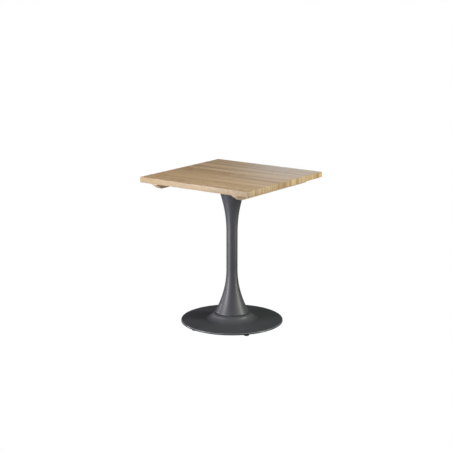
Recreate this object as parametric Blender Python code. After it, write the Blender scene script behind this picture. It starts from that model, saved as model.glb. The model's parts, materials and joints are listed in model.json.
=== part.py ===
"""Bistro table: a square edge-glued wood top with two battens, on a hollow tulip column and a
round cast base that stands on five adjustable glides.

Metres, +Z up. The origin is on the floor, on the column's axis. The top's grain runs along X and
the battens run along Y. Parts that touch keep GAP between them.
"""

from math import atan, cos, degrees, pi, radians, sin, sqrt

import bmesh
import bpy
from mathutils import Matrix

# Driving dimensions
HEIGHT = 0.752
TOP_SIDE = 0.635
TOP_THICKNESS = 0.027
BASE_RADIUS = 0.2535
COLUMN_WAIST_RADIUS = 0.0278
GAP = 0.0003

# Wood top and battens
TOP_UNDERSIDE = HEIGHT - TOP_THICKNESS
TOP_EDGE_BEVEL = 0.0012
BATTEN_WIDTH = 0.032
BATTEN_DEPTH = 0.027
BATTEN_INSET = 0.0645
BATTEN_END_GAP = 0.008
BATTEN_BEVEL_LENGTH = 0.039
BATTEN_END_HEIGHT = 0.004
BATTEN_EDGE_BEVEL = 0.0008
BATTEN_X = TOP_SIDE / 2 - BATTEN_INSET - BATTEN_WIDTH / 2
BATTEN_TOP = TOP_UNDERSIDE - GAP
BATTEN_BOTTOM = BATTEN_TOP - BATTEN_DEPTH

# Screws through the battens. The outer ones sit in slots, so the top can swell across its grain.
SCREW_Y = (-0.215, -0.075, 0.075, 0.215)
SCREW_RADIUS = 0.0021
SCREW_HEAD_RADIUS = 0.0042
SCREW_HEAD_HEIGHT = 0.0030
SCREW_POINT = 0.004
SCREW_BITE = 0.0125
COUNTERBORE_RADIUS = 0.0055
COUNTERBORE_SEAT = BATTEN_BOTTOM + 0.010
SLOT_HALF_TRAVEL = 0.003

# Mounting plate, its bolts and the threaded inserts in the top
PLATE_RADIUS = 0.120
PLATE_THICKNESS = 0.005
PLATE_EDGE_BEVEL = 0.0008
PLATE_TOP = TOP_UNDERSIDE - GAP
PLATE_BOTTOM = PLATE_TOP - PLATE_THICKNESS
BOLT_COUNT = 6
BOLT_CIRCLE_RADIUS = 0.103
BOLT_RADIUS = 0.003
BOLT_HEAD_RADIUS = 0.0052
BOLT_HEAD_HEIGHT = 0.0034
BOLT_SOCKET_RADIUS = 0.0022
BOLT_SOCKET_DEPTH = 0.0016
BOLT_LENGTH = 0.018
INSERT_RADIUS = 0.0048
INSERT_LENGTH = 0.013
NUT_POCKET_RADIUS = 0.020
NUT_POCKET_DEPTH = 0.0175

# Tie rod, with a nut and a washer at each end
ROD_RADIUS = 0.006
ROD_HOLE_RADIUS = 0.0066
ROD_OVERHANG = 0.0025
WASHER_RADIUS = 0.012
WASHER_THICKNESS = 0.0025
NUT_CORNER_RADIUS = 0.0104
NUT_HEIGHT = 0.0098

# Base casting: a flat rim, a shallow cone, an elliptical flare up to the hub, and a spigot on top
RIM_BOTTOM = 0.0115
RIM_TOP = 0.0195
RIM_TOP_ROUND = 0.003
RIM_BOTTOM_BEVEL = 0.0012
RIM_BAND_INNER_RADIUS = 0.203
FLARE_FOOT_RADIUS = 0.135
FLARE_FOOT_HEIGHT = 0.0245
HUB_RADIUS = 0.0845
HUB_TOP = 0.0547
HUB_STEEPEST = 60
SHOULDER_START = 10
SHOULDER_RADIUS = 0.018
HUB_WEB = 0.008
SPIGOT_RADIUS = 0.0725
SPIGOT_WALL = 0.0065
SPIGOT_HEIGHT = 0.008
CASTING_WALL = 0.007

# Seam ring between hub and column
SEAM_RING_INNER_RADIUS = 0.0735
SEAM_RING_OUTER_RADIUS = 0.0800
SEAM_RING_THICKNESS = 0.0012

# Column shell. The end radii are where each flare would reach without its rounded edge.
COLUMN_BOTTOM = HUB_TOP + SEAM_RING_THICKNESS + 2 * GAP
COLUMN_TOP = PLATE_BOTTOM - GAP
COLUMN_LOWER_RADIUS = 0.0846
COLUMN_UPPER_RADIUS = 0.0829
COLUMN_WALL = 0.003
COLUMN_EDGE_ROUND = 0.004
COLUMN_MOUTH_RADIUS = 0.074
LOWER_FLARE_START = 0.2763
UPPER_FLARE_START = 0.4610
LOWER_FLARE_POWER = 2.06
UPPER_FLARE_POWER = 2.12
FLARE_STEPS = 8

# Ring that centres the column under the plate
CENTRING_RING_RADIUS = 0.0730
CENTRING_RING_WIDTH = 0.012
CENTRING_RING_HEIGHT = 0.0055

# Glides: pad and stud screw in and out of a bush in a boss of the casting
GLIDE_COUNT = 5
GLIDE_CIRCLE_RADIUS = 0.225
GLIDE_FIRST_ANGLE = pi
PAD_RADIUS = 0.0137
PAD_HEIGHT = 0.0078
PAD_EDGE_ROUND = 0.002
PAD_SOCKET_DEPTH = 0.0045
STUD_RADIUS = 0.004
STUD_TOP = 0.0172
BUSH_RADIUS = 0.007
BUSH_TOP = 0.0178
BOSS_RADIUS = 0.0105
BOSS_BOTTOM = PAD_HEIGHT + GAP
BOSS_ROOT = RIM_BOTTOM + 0.002

# Facets round a full turn
FINE = 48
COLUMN_FACETS = 36
MEDIUM = 16
SMALL = 12

# How far a cutter reaches past the face it cuts
OVERCUT = 0.002


def clear_scene():
    for scene_object in list(bpy.data.objects):
        bpy.data.objects.remove(scene_object)


def make_material(name, colour, roughness, metallic):
    material = bpy.data.materials.new(name)
    material.use_nodes = True
    shader = material.node_tree.nodes["Principled BSDF"]
    shader.inputs["Base Color"].default_value = (*colour, 1.0)
    shader.inputs["Roughness"].default_value = roughness
    shader.inputs["Metallic"].default_value = metallic
    material.diffuse_color = (*colour, 1.0)
    return material


def add_object(name, mesh_data, material=None, location=(0.0, 0.0, 0.0), parent=None):
    new_object = bpy.data.objects.new(name, mesh_data)
    new_object.location = location
    new_object.parent = parent
    if material and not mesh_data.materials:
        mesh_data.materials.append(material)
    bpy.context.scene.collection.objects.link(new_object)
    return new_object


def mesh_from(shape, name, smooth_angle=40):
    """Turns a bmesh into a mesh with outward faces, smooth over gentle edges."""
    bmesh.ops.remove_doubles(shape, verts=shape.verts, dist=1e-6)
    bmesh.ops.recalc_face_normals(shape, faces=shape.faces)
    mesh_data = bpy.data.meshes.new(name)
    shape.to_mesh(mesh_data)
    shape.free()
    mesh_data.shade_smooth()
    mesh_data.set_sharp_from_angle(angle=radians(smooth_angle))
    return mesh_data


def turned_mesh(name, profile, steps, ring=False):
    """Spins (radius, height) points about Z. A ring's profile is a closed outline."""
    shape = bmesh.new()
    points = [shape.verts.new((radius, 0.0, height)) for radius, height in profile]
    pairs = list(zip(points, points[1:]))
    if ring:
        pairs.append((points[-1], points[0]))
    edges = [shape.edges.new(pair) for pair in pairs]
    bmesh.ops.spin(
        shape,
        geom=points + edges,
        cent=(0.0, 0.0, 0.0),
        axis=(0.0, 0.0, 1.0),
        angle=2 * pi,
        steps=steps,
        use_merge=True,
    )
    return mesh_from(shape, name)


def tube_mesh(name, outer, inner, height, steps):
    """A plain washer, bush or ring that stands on z = 0."""
    profile = [(outer, height), (outer, 0.0), (inner, 0.0), (inner, height)]
    return turned_mesh(name, profile, steps, ring=True)


def arc(centre, radii, start, end, count):
    """Points on part of an ellipse, with angles in degrees from +radius towards +Z."""
    points = []
    for index in range(count + 1):
        angle = radians(start + (end - start) * index / count)
        points.append((centre[0] + radii[0] * cos(angle), centre[1] + radii[1] * sin(angle)))
    return points


def extrude_face(shape, corners, direction):
    """Extrudes the flat face through these corners into a closed solid."""
    face = shape.faces.new([shape.verts.new(corner) for corner in corners])
    swept = bmesh.ops.extrude_face_region(shape, geom=[face])["geom"]
    moved = [item for item in swept if isinstance(item, bmesh.types.BMVert)]
    bmesh.ops.translate(shape, verts=moved, vec=direction)


def hole(shape, place, radius, bottom, top, steps=SMALL, half_travel=0.0):
    """Adds a round plug, or a slotted one drawn out along Y by half_travel each way."""
    corners = []
    for index in range(steps):
        angle = 2 * pi * (index + 0.5) / steps
        shift = half_travel if sin(angle) > 0 else -half_travel
        x = place[0] + radius * cos(angle)
        y = place[1] + radius * sin(angle) + shift
        corners.append((x, y, bottom))
    extrude_face(shape, corners, (0.0, 0.0, top - bottom))


def combine(target, name, shape, operation="DIFFERENCE"):
    """Cuts or joins a bmesh to the target through a Boolean with a hidden object."""
    tool = add_object(name, mesh_from(shape, name))
    tool.hide_render = True
    tool.display_type = "WIRE"
    boolean = target.modifiers.new(name, "BOOLEAN")
    boolean.operation = operation
    boolean.solver = "EXACT"
    boolean.object = tool


def around(radius, count, first_angle=0.0):
    """(x, y) places spaced evenly on a circle."""
    angles = [first_angle + 2 * pi * index / count for index in range(count)]
    return [(radius * cos(angle), radius * sin(angle)) for angle in angles]


def make_tabletop(material):
    """The square top. Its underside has insert holes, screw pilot holes and a nut pocket."""
    shape = bmesh.new()
    size = Matrix.Diagonal((TOP_SIDE, TOP_SIDE, TOP_THICKNESS, 1.0))
    bmesh.ops.create_cube(shape, size=1.0, matrix=size)
    bmesh.ops.bevel(shape, geom=shape.edges[:], offset=TOP_EDGE_BEVEL, segments=2, affect="EDGES")
    centre = (0.0, 0.0, TOP_UNDERSIDE + TOP_THICKNESS / 2)
    top = add_object("tabletop", mesh_from(shape, "tabletop"), material, centre)

    holes = bmesh.new()
    below = TOP_UNDERSIDE - OVERCUT
    hole(holes, (0.0, 0.0), NUT_POCKET_RADIUS, below, TOP_UNDERSIDE + NUT_POCKET_DEPTH, MEDIUM)
    for place in around(BOLT_CIRCLE_RADIUS, BOLT_COUNT):
        depth = INSERT_LENGTH + BOLT_RADIUS
        hole(holes, place, INSERT_RADIUS + GAP, below, TOP_UNDERSIDE + depth)
    for x in (-BATTEN_X, BATTEN_X):
        for y in SCREW_Y:
            depth = SCREW_BITE + 2 * GAP
            hole(holes, (x, y), SCREW_RADIUS + GAP, below, TOP_UNDERSIDE + depth)
    combine(top, "tabletop_holes", holes)


def make_batten(name, x, material):
    """A batten across the grain, its ends bevelled up to a short upright face below the top."""
    half = TOP_SIDE / 2 - BATTEN_END_GAP
    foot = half - BATTEN_BEVEL_LENGTH
    bevel_top = BATTEN_TOP - BATTEN_END_HEIGHT
    outline = [(-half, BATTEN_TOP), (-half, bevel_top), (-foot, BATTEN_BOTTOM)]
    outline += [(foot, BATTEN_BOTTOM), (half, bevel_top), (half, BATTEN_TOP)]
    shape = bmesh.new()
    corners = [(-BATTEN_WIDTH / 2, y, z) for y, z in outline]
    extrude_face(shape, corners, (BATTEN_WIDTH, 0.0, 0.0))
    bmesh.ops.bevel(shape, geom=shape.edges[:], offset=BATTEN_EDGE_BEVEL, segments=1, affect="EDGES")
    batten = add_object(name, mesh_from(shape, name, 20), material, (x, 0.0, 0.0))

    counterbores = bmesh.new()
    shank_holes = bmesh.new()
    below = BATTEN_BOTTOM - OVERCUT
    above = BATTEN_TOP + OVERCUT
    for y in SCREW_Y:
        travel = SLOT_HALF_TRAVEL if abs(y) == max(SCREW_Y) else 0.0
        hole(counterbores, (x, y), COUNTERBORE_RADIUS, below, COUNTERBORE_SEAT, SMALL, travel)
        hole(shank_holes, (x, y), SCREW_RADIUS + GAP, below, above, SMALL, travel)
    combine(batten, name + "_counterbores", counterbores)
    combine(batten, name + "_shank_holes", shank_holes)


def make_batten_screws(material):
    """Pan-head wood screws, tip upwards. Each one's origin is under its head's seat."""
    length = BATTEN_TOP - COUNTERBORE_SEAT + 2 * GAP + SCREW_BITE
    profile = [
        (0.0, length),
        (SCREW_RADIUS, length - SCREW_POINT),
        (SCREW_RADIUS, 0.0),
        (SCREW_HEAD_RADIUS, 0.0),
        (SCREW_HEAD_RADIUS, -0.4 * SCREW_HEAD_HEIGHT),
        (0.6 * SCREW_HEAD_RADIUS, -SCREW_HEAD_HEIGHT),
        (0.0, -SCREW_HEAD_HEIGHT),
    ]
    mesh_data = turned_mesh("wood_screw", profile, SMALL)
    for side, x in (("left", -BATTEN_X), ("right", BATTEN_X)):
        for number, y in enumerate(SCREW_Y, start=1):
            place = (x, y, COUNTERBORE_SEAT - GAP)
            add_object(f"batten_screw_{side}_{number}", mesh_data, material, place)


def make_mounting_plate(material):
    """The round steel plate under the top, bored for the tie rod and drilled for its bolts."""
    bevel = PLATE_EDGE_BEVEL
    profile = [
        (ROD_HOLE_RADIUS, PLATE_TOP),
        (PLATE_RADIUS - bevel, PLATE_TOP),
        (PLATE_RADIUS, PLATE_TOP - bevel),
        (PLATE_RADIUS, PLATE_BOTTOM + bevel),
        (PLATE_RADIUS - bevel, PLATE_BOTTOM),
        (ROD_HOLE_RADIUS, PLATE_BOTTOM),
    ]
    mesh_data = turned_mesh("mounting_plate", profile, FINE, ring=True)
    plate = add_object("mounting_plate", mesh_data, material)
    holes = bmesh.new()
    for place in around(BOLT_CIRCLE_RADIUS, BOLT_COUNT):
        hole(holes, place, BOLT_RADIUS + GAP, PLATE_BOTTOM - OVERCUT, PLATE_TOP + OVERCUT)
    combine(plate, "mounting_plate_holes", holes)


def make_plate_fasteners(bolt_material, insert_material):
    """Button-head bolts up through the plate, and the threaded inserts that they turn into."""
    profile = [
        (0.0, BOLT_LENGTH),
        (BOLT_RADIUS, BOLT_LENGTH),
        (BOLT_RADIUS, 0.0),
        (BOLT_HEAD_RADIUS, 0.0),
        (BOLT_HEAD_RADIUS, -0.25 * BOLT_HEAD_HEIGHT),
        (0.85 * BOLT_HEAD_RADIUS, -0.7 * BOLT_HEAD_HEIGHT),
        (0.6 * BOLT_HEAD_RADIUS, -BOLT_HEAD_HEIGHT),
        (BOLT_SOCKET_RADIUS, -BOLT_HEAD_HEIGHT),
        (BOLT_SOCKET_RADIUS, -BOLT_HEAD_HEIGHT + BOLT_SOCKET_DEPTH),
        (0.0, -BOLT_HEAD_HEIGHT + BOLT_SOCKET_DEPTH),
    ]
    bolt_mesh = turned_mesh("plate_bolt", profile, SMALL)
    insert_mesh = tube_mesh("plate_insert", INSERT_RADIUS, BOLT_RADIUS + GAP, INSERT_LENGTH, SMALL)
    for number, (x, y) in enumerate(around(BOLT_CIRCLE_RADIUS, BOLT_COUNT), start=1):
        add_object(f"plate_bolt_{number}", bolt_mesh, bolt_material, (x, y, PLATE_BOTTOM - GAP))
        insert_place = (x, y, TOP_UNDERSIDE + GAP)
        add_object(f"plate_insert_{number}", insert_mesh, insert_material, insert_place)


def nut_mesh():
    """A hexagon nut that stands on z = 0, bored clear of the rod."""
    shape = bmesh.new()
    corners = [(x, y, 0.0) for x, y in around(NUT_CORNER_RADIUS, 6)]
    extrude_face(shape, corners, (0.0, 0.0, NUT_HEIGHT))
    return mesh_from(shape, "nut")


def make_tie_rod(material):
    """The rod that clamps plate, column and base together, with its nuts and washers."""
    washer_mesh = tube_mesh("washer", WASHER_RADIUS, ROD_HOLE_RADIUS, WASHER_THICKNESS, MEDIUM)
    web_bottom = HUB_TOP - HUB_WEB
    upper_washer_z = PLATE_TOP + GAP
    upper_nut_z = upper_washer_z + WASHER_THICKNESS + GAP
    lower_washer_z = web_bottom - GAP - WASHER_THICKNESS
    lower_nut_z = lower_washer_z - GAP - NUT_HEIGHT
    for name, z in (("upper_washer", upper_washer_z), ("lower_washer", lower_washer_z)):
        add_object(name, washer_mesh, material, (0.0, 0.0, z))
    for name, z in (("upper_nut", upper_nut_z), ("lower_nut", lower_nut_z)):
        nut = add_object(name, nut_mesh(), material, (0.0, 0.0, z))
        bore = bmesh.new()
        hole(bore, (0.0, 0.0), ROD_RADIUS + GAP, z - OVERCUT, z + NUT_HEIGHT + OVERCUT, MEDIUM)
        combine(nut, name + "_bore", bore)

    rod_bottom = lower_nut_z - ROD_OVERHANG
    rod_top = upper_nut_z + NUT_HEIGHT + ROD_OVERHANG
    profile = [(0.0, rod_top), (ROD_RADIUS, rod_top), (ROD_RADIUS, rod_bottom), (0.0, rod_bottom)]
    add_object("tie_rod", turned_mesh("tie_rod", profile, SMALL), material)


def lower_flare_radius(z):
    """Outside radius and slope of the column below its waist."""
    span = LOWER_FLARE_START - COLUMN_BOTTOM
    rise = COLUMN_LOWER_RADIUS - COLUMN_WAIST_RADIUS
    along = (LOWER_FLARE_START - z) / span
    slope = rise * LOWER_FLARE_POWER * along ** (LOWER_FLARE_POWER - 1) / span
    return COLUMN_WAIST_RADIUS + rise * along**LOWER_FLARE_POWER, slope


def upper_flare_radius(z):
    """Outside radius and slope of the column above its waist."""
    span = COLUMN_TOP - UPPER_FLARE_START
    rise = COLUMN_UPPER_RADIUS - COLUMN_WAIST_RADIUS
    along = (z - UPPER_FLARE_START) / span
    slope = rise * UPPER_FLARE_POWER * along ** (UPPER_FLARE_POWER - 1) / span
    return COLUMN_WAIST_RADIUS + rise * along**UPPER_FLARE_POWER, slope


def flare_profile(flare_radius, start, end):
    """Outer and inner points of one flare from the waist to its rounded end."""
    towards_end = 1.0 if end > start else -1.0
    end_slope = flare_radius(end)[1]
    lean = atan(end_slope)
    last = end - towards_end * COLUMN_EDGE_ROUND * (1 + sin(lean))
    outer = []
    inner = []
    for index in range(FLARE_STEPS + 1):
        z = start + (last - start) * index / FLARE_STEPS
        radius, slope = flare_radius(z)
        outer.append((radius, z))
        inside = radius - COLUMN_WALL * sqrt(1 + slope**2)
        inner.append((min(inside, COLUMN_MOUTH_RADIUS), z))
    edge_centre = (
        outer[-1][0] - COLUMN_EDGE_ROUND * cos(lean),
        end - towards_end * COLUMN_EDGE_ROUND,
    )
    tilt = -towards_end * degrees(lean)
    round_edge = arc(edge_centre, (COLUMN_EDGE_ROUND,) * 2, tilt, towards_end * 90, 3)
    outer.extend(round_edge[1:])
    inner.append((COLUMN_MOUTH_RADIUS, end))
    return outer, inner


def make_column_shell(material):
    """The hollow tulip column, open at both ends."""
    lower_outer, lower_inner = flare_profile(lower_flare_radius, LOWER_FLARE_START, COLUMN_BOTTOM)
    upper_outer, upper_inner = flare_profile(upper_flare_radius, UPPER_FLARE_START, COLUMN_TOP)
    outline = lower_outer + lower_inner[::-1] + upper_inner + upper_outer[::-1]
    mesh_data = turned_mesh("column_shell", outline, COLUMN_FACETS, ring=True)
    add_object("column_shell", mesh_data, material)


def hub_side(shoulder_steps, hollow_steps):
    """A soft shoulder that steepens from the seam, then a hollow curve that flattens onto the disc."""
    start, steepest = 90 - SHOULDER_START, 90 - HUB_STEEPEST
    centre = (
        HUB_RADIUS - SHOULDER_RADIUS * cos(radians(start)),
        HUB_TOP - SHOULDER_RADIUS * sin(radians(start)),
    )
    shoulder = arc(centre, (SHOULDER_RADIUS,) * 2, start, steepest, shoulder_steps)
    drop = shoulder[-1][1] - FLARE_FOOT_HEIGHT
    size = drop / (1 - sin(radians(steepest)))
    centre = (shoulder[-1][0] + size * cos(radians(steepest)), FLARE_FOOT_HEIGHT + size)
    return shoulder + arc(centre, (size, size), 180 + steepest, 270, hollow_steps)[1:]


def base_top_profile():
    """The casting's outer surface from the bore, over spigot and hub, out to the rim's underside."""
    rim_edge = (BASE_RADIUS - RIM_TOP_ROUND, RIM_TOP - RIM_TOP_ROUND)
    return [
        (ROD_HOLE_RADIUS, HUB_TOP),
        (SPIGOT_RADIUS - SPIGOT_WALL, HUB_TOP),
        (SPIGOT_RADIUS - SPIGOT_WALL, HUB_TOP + SPIGOT_HEIGHT),
        (SPIGOT_RADIUS, HUB_TOP + SPIGOT_HEIGHT),
        (SPIGOT_RADIUS, HUB_TOP),
        *hub_side(4, 6),
        *arc(rim_edge, (RIM_TOP_ROUND,) * 2, 90, 0, 2),
        (BASE_RADIUS, RIM_BOTTOM + RIM_BOTTOM_BEVEL),
        (BASE_RADIUS - RIM_BOTTOM_BEVEL, RIM_BOTTOM),
    ]


def base_recess_profile():
    """The casting's hollow underside from the rim band in to the bore."""
    reach = (FLARE_FOOT_RADIUS - HUB_RADIUS + CASTING_WALL, HUB_TOP - FLARE_FOOT_HEIGHT + CASTING_WALL)
    recess_radius = RIM_BAND_INNER_RADIUS - CASTING_WALL / 2
    recess_height = RIM_BOTTOM + CASTING_WALL / 2
    web_bottom = HUB_TOP - HUB_WEB
    cone_bottom = FLARE_FOOT_HEIGHT - CASTING_WALL
    web_angle = 180 + degrees(atan(HUB_WEB / sqrt(reach[1] ** 2 - HUB_WEB**2)))
    return [
        (RIM_BAND_INNER_RADIUS, RIM_BOTTOM),
        (recess_radius, recess_height),
        (FLARE_FOOT_RADIUS, cone_bottom),
        *arc((FLARE_FOOT_RADIUS, HUB_TOP), reach, 270, web_angle, 5)[1:],
        (ROD_HOLE_RADIUS, web_bottom),
    ]


def make_base_disc(material):
    """The cast base, with a boss and a blind hole for each glide's bush."""
    outline = base_top_profile() + base_recess_profile()
    mesh_data = turned_mesh("base_disc", outline, FINE, ring=True)
    base = add_object("base_disc", mesh_data, material)
    bosses = bmesh.new()
    holes = bmesh.new()
    for place in around(GLIDE_CIRCLE_RADIUS, GLIDE_COUNT, GLIDE_FIRST_ANGLE):
        hole(bosses, place, BOSS_RADIUS, BOSS_BOTTOM, BOSS_ROOT, MEDIUM)
        hole(holes, place, BUSH_RADIUS + GAP, BOSS_BOTTOM - OVERCUT, BUSH_TOP + GAP, MEDIUM)
    combine(base, "base_disc_bosses", bosses, "UNION")
    combine(base, "base_disc_holes", holes)


def make_rings(seam_material, steel_material):
    """The seam ring under the column, and the ring that centres the column under the plate."""
    seam_mesh = tube_mesh(
        "seam_ring", SEAM_RING_OUTER_RADIUS, SEAM_RING_INNER_RADIUS, SEAM_RING_THICKNESS, FINE
    )
    add_object("seam_ring", seam_mesh, seam_material, (0.0, 0.0, HUB_TOP + GAP))
    centring_mesh = tube_mesh(
        "centring_ring",
        CENTRING_RING_RADIUS,
        CENTRING_RING_RADIUS - CENTRING_RING_WIDTH,
        CENTRING_RING_HEIGHT,
        COLUMN_FACETS,
    )
    centring_z = PLATE_BOTTOM - GAP - CENTRING_RING_HEIGHT
    add_object("centring_ring", centring_mesh, steel_material, (0.0, 0.0, centring_z))


def make_glides(pad_material, steel_material):
    """Each pad's origin is on the floor, on the glide's axis. Its stud is its child."""
    edge = (PAD_RADIUS - PAD_EDGE_ROUND, PAD_EDGE_ROUND)
    socket_floor = PAD_HEIGHT - PAD_SOCKET_DEPTH
    pad_profile = [
        (0.0, 0.0),
        *arc(edge, (PAD_EDGE_ROUND,) * 2, -90, 0, 3),
        (PAD_RADIUS, PAD_HEIGHT - PAD_EDGE_ROUND),
        (PAD_RADIUS - PAD_EDGE_ROUND, PAD_HEIGHT),
        (STUD_RADIUS + GAP, PAD_HEIGHT),
        (STUD_RADIUS + GAP, socket_floor),
        (0.0, socket_floor),
    ]
    stud_bottom = socket_floor + GAP
    stud_profile = [
        (0.0, STUD_TOP),
        (STUD_RADIUS, STUD_TOP),
        (STUD_RADIUS, stud_bottom),
        (0.0, stud_bottom),
    ]
    pad_mesh = turned_mesh("glide_pad", pad_profile, MEDIUM)
    stud_mesh = turned_mesh("glide_stud", stud_profile, SMALL)
    bush_mesh = tube_mesh("glide_bush", BUSH_RADIUS, STUD_RADIUS + GAP, BUSH_TOP - BOSS_BOTTOM, MEDIUM)
    places = around(GLIDE_CIRCLE_RADIUS, GLIDE_COUNT, GLIDE_FIRST_ANGLE)
    for number, (x, y) in enumerate(places, start=1):
        pad = add_object(f"glide_pad_{number}", pad_mesh, pad_material, (x, y, 0.0))
        add_object(f"glide_stud_{number}", stud_mesh, steel_material, parent=pad)
        add_object(f"glide_bush_{number}", bush_mesh, steel_material, (x, y, BOSS_BOTTOM))


def main():
    clear_scene()
    wood = make_material("oiled_wood", (0.50, 0.35, 0.21), 0.45, 0.0)
    batten_wood = make_material("batten_wood", (0.56, 0.42, 0.28), 0.50, 0.0)
    column_paint = make_material("column_paint", (0.060, 0.062, 0.068), 0.32, 0.0)
    base_paint = make_material("base_paint", (0.058, 0.060, 0.064), 0.40, 0.0)
    plate_paint = make_material("plate_paint", (0.040, 0.041, 0.044), 0.50, 0.0)
    steel = make_material("zinc_steel", (0.55, 0.55, 0.54), 0.35, 1.0)
    brass = make_material("insert_brass", (0.70, 0.52, 0.22), 0.35, 1.0)
    black_plastic = make_material("black_plastic", (0.012, 0.012, 0.013), 0.50, 0.0)

    make_tabletop(wood)
    make_batten("batten_left", -BATTEN_X, batten_wood)
    make_batten("batten_right", BATTEN_X, batten_wood)
    make_batten_screws(steel)
    make_mounting_plate(plate_paint)
    make_plate_fasteners(steel, brass)
    make_tie_rod(steel)
    make_column_shell(column_paint)
    make_base_disc(base_paint)
    make_rings(black_plastic, steel)
    make_glides(black_plastic, steel)


main()
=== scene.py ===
"""Looks of the bistro table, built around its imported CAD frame.

Metres, +Z up, in the part's own frame: the floor is z = 0, the top's grain runs along X and the
battens along Y. A finer piece in the same place stands for every CAD node, except for the six
inserts that are closed in inside the top.
"""

import json
from math import atan, cos, degrees, pi, radians, sin, sqrt

import bmesh
import bpy
from mathutils import Matrix, Vector

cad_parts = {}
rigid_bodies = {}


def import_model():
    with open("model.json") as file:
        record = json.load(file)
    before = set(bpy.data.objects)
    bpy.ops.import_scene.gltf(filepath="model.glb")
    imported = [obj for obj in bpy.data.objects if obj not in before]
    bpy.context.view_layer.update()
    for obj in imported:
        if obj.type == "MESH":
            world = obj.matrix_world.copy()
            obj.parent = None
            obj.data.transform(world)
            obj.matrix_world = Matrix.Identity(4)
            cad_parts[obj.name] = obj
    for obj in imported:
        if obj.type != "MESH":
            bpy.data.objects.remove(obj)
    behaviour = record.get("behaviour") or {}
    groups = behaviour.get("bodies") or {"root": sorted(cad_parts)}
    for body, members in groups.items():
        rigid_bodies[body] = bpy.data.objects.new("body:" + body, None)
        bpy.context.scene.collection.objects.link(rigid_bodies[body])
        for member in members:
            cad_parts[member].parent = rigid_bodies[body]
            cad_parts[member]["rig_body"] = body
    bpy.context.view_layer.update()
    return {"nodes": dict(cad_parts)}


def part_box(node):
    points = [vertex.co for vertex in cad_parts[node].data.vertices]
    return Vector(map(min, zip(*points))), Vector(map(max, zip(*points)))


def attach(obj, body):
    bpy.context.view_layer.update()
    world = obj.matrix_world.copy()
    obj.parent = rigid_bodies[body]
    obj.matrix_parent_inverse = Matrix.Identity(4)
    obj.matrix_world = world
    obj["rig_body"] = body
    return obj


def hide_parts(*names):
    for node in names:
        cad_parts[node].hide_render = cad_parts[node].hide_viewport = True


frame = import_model()


# ---------------------------------------------------------------- sizes

# The frame gives each piece's place and outer size. What is finer than that is a number here.


def half_width(node):
    """Half of a CAD node's size along X, which is a round node's radius."""
    low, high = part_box(node)
    return (high.x - low.x) / 2


# the gap between touching pieces, and how far a cutter reaches past the face that it cuts
GAP = 0.0003
OVERLAP = 0.002

# batten screws, whose recess is a cross of two tapered arms
SCREW_HEAD_RADIUS = half_width("batten_screw_left_1")
SCREW_HEAD_HEIGHT = 0.0030
SCREW_DOME_HEIGHT = 0.0018
SCREW_SHANK_RADIUS = 0.0021
SCREW_TIP_LENGTH = 0.004
RECESS_ARM_WIDTH = 0.0011
RECESS_ARM_LENGTH = 0.0046
RECESS_DEPTH = 0.0017
RECESS_TAPER = 0.64

# mounting plate and its button-head bolts
PLATE_LOW, PLATE_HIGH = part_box("mounting_plate")
PLATE_RADIUS = half_width("mounting_plate")
PLATE_EDGE_ROUND = 0.0008
BOLT_HEAD_RADIUS = half_width("plate_bolt_1")
BOLT_HEAD_HEIGHT = 0.0034
BOLT_DOME_HEIGHT = 0.0025
BOLT_SEAT_RADIUS = 0.0051
BOLT_RADIUS = 0.0030
BOLT_TIP_CHAMFER = 0.0004
BOLT_SOCKET_RADIUS = 0.0023
BOLT_SOCKET_DEPTH = 0.0016
PLATE_HOLE_RADIUS = BOLT_RADIUS + GAP

# tie rod, nuts and washers; THREAD_END_CHAMFER is in thread depths
THREAD_STEPS = 32
THREAD_END_CHAMFER = 1.4
ROD_RADIUS = half_width("tie_rod")
ROD_THREAD_DEPTH = 0.0009
ROD_PITCH = 0.00175
ROD_HOLE_RADIUS = ROD_RADIUS + 2 * GAP
WASHER_RADIUS = half_width("upper_washer")
WASHER_EDGE_ROUND = 0.0004
NUT_CORNER_RADIUS = half_width("upper_nut")
NUT_FACE_RADIUS = 0.0091
NUT_CHAMFER_RADIUS = 0.0106
NUT_CHAMFER_HEIGHT = 0.0009
NUT_BORE_RADIUS = ROD_RADIUS + GAP
NUT_COUNTERSINK = 0.0008

# the top and the battens
TOP_LOW, TOP_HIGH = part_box("tabletop")
TOP_SIDE = TOP_HIGH.x - TOP_LOW.x
TOP_THICKNESS = TOP_HIGH.z - TOP_LOW.z
BOARD_EDGE_ROUND = 0.0013
ROD_WELL_RADIUS = 0.020
ROD_WELL_DEPTH = 0.0175
INSERT_HOLE_RADIUS = half_width("plate_insert_1") + GAP
INSERT_HOLE_DEPTH = 0.016
SCREW_HOLE_RADIUS = SCREW_SHANK_RADIUS + GAP
SCREW_HOLE_DEPTH = 0.0131
BATTEN_EDGE_ROUND = 0.0009
BATTEN_BEVEL_LENGTH = 0.039
BATTEN_END_HEIGHT = 0.004
COUNTERBORE_RADIUS = 0.0055
COUNTERBORE_DEPTH = 0.010
SLOT_HALF_TRAVEL = 0.003

# column
COLUMN_LOW, COLUMN_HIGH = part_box("column_shell")
COLUMN_WAIST_RADIUS = 0.0278
COLUMN_LOWER_RADIUS = 0.0846
COLUMN_UPPER_RADIUS = 0.0829
COLUMN_WALL = 0.003
COLUMN_EDGE_ROUND = 0.0022
COLUMN_MOUTH_RADIUS = 0.074
LOWER_FLARE_START = 0.2763
UPPER_FLARE_START = 0.4610
LOWER_FLARE_POWER = 2.06
UPPER_FLARE_POWER = 2.12

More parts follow.
